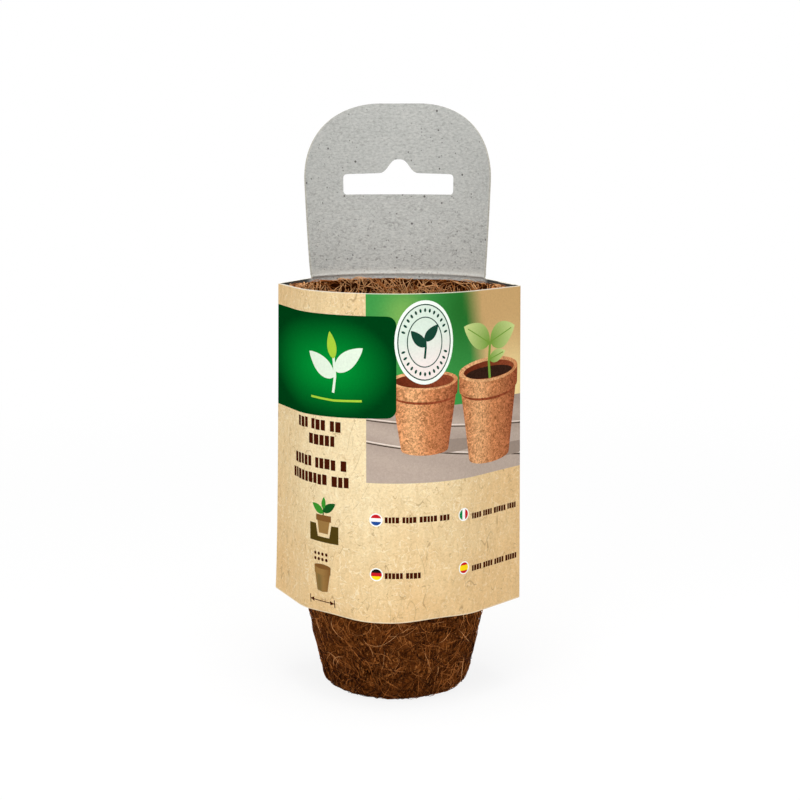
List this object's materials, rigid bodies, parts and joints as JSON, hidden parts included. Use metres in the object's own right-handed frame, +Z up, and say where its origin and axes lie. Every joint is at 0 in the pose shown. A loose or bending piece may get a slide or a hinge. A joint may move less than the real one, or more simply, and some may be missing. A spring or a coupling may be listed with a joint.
{
  "type": "coir pot pack",
  "caption": "Stack of nested coir seedling pots held in a printed card sleeve with a slotted hang tab.",
  "frame": {"origin": "centre of the lowest pot's flat base, where the pack stands", "axes": "+Z up along the stack, -Y out of the printed front, +Y at the hang tab, X through the sleeve's two creases"},
  "size_m": [0.0747, 0.0618, 0.1733],
  "materials": {
    "coir": "rough pressed coconut fibre, loose ends showing",
    "printed_card": "kraft-coloured printed card, matt",
    "grey_board": "uncoated recycled grey board, matt with specks"
  },
  "bodies": {
    "pot_1": {"coir_pot_1": "coir"},
    "pot_2": {"coir_pot_2": "coir"},
    "pot_3": {"coir_pot_3": "coir"},
    "pot_4": {"coir_pot_4": "coir"},
    "pot_5": {"coir_pot_5": "coir"},
    "pot_6": {"coir_pot_6": "coir"},
    "pot_7": {"coir_pot_7": "coir"},
    "pot_8": {"coir_pot_8": "coir"},
    "sleeve": {"card_sleeve": "printed_card"},
    "tab": {"hang_tab": "grey_board"}
  },
  "joints": [
    {"name": "pot_2_lift", "type": "slide", "parent": "pot_1", "child": "pot_2", "axis": [0, 0, 1], "range_m": [0, 0.04]},
    {"name": "pot_3_lift", "type": "slide", "parent": "pot_2", "child": "pot_3", "axis": [0, 0, 1], "range_m": [0, 0.04]},
    {"name": "pot_4_lift", "type": "slide", "parent": "pot_3", "child": "pot_4", "axis": [0, 0, 1], "range_m": [0, 0.04]},
    {"name": "pot_5_lift", "type": "slide", "parent": "pot_4", "child": "pot_5", "axis": [0, 0, 1], "range_m": [0, 0.04]},
    {"name": "pot_6_lift", "type": "slide", "parent": "pot_5", "child": "pot_6", "axis": [0, 0, 1], "range_m": [0, 0.04]},
    {"name": "pot_7_lift", "type": "slide", "parent": "pot_6", "child": "pot_7", "axis": [0, 0, 1], "range_m": [0, 0.04]},
    {"name": "pot_8_lift", "type": "slide", "parent": "pot_7", "child": "pot_8", "axis": [0, 0, 1], "range_m": [0, 0.04]},
    {"name": "sleeve_slide", "type": "slide", "parent": "pot_1", "child": "sleeve", "axis": [0, 0, 1], "range_m": [-0.026, 0.098]},
    {"name": "tab_fold", "type": "hinge", "parent": "sleeve", "child": "tab", "pos_m": [0, 0.0309, 0.1207], "axis": [-1, 0, 0], "range_deg": [0, 90], "stiffness_Nm_per_rad": 0.0006}
  ]
}
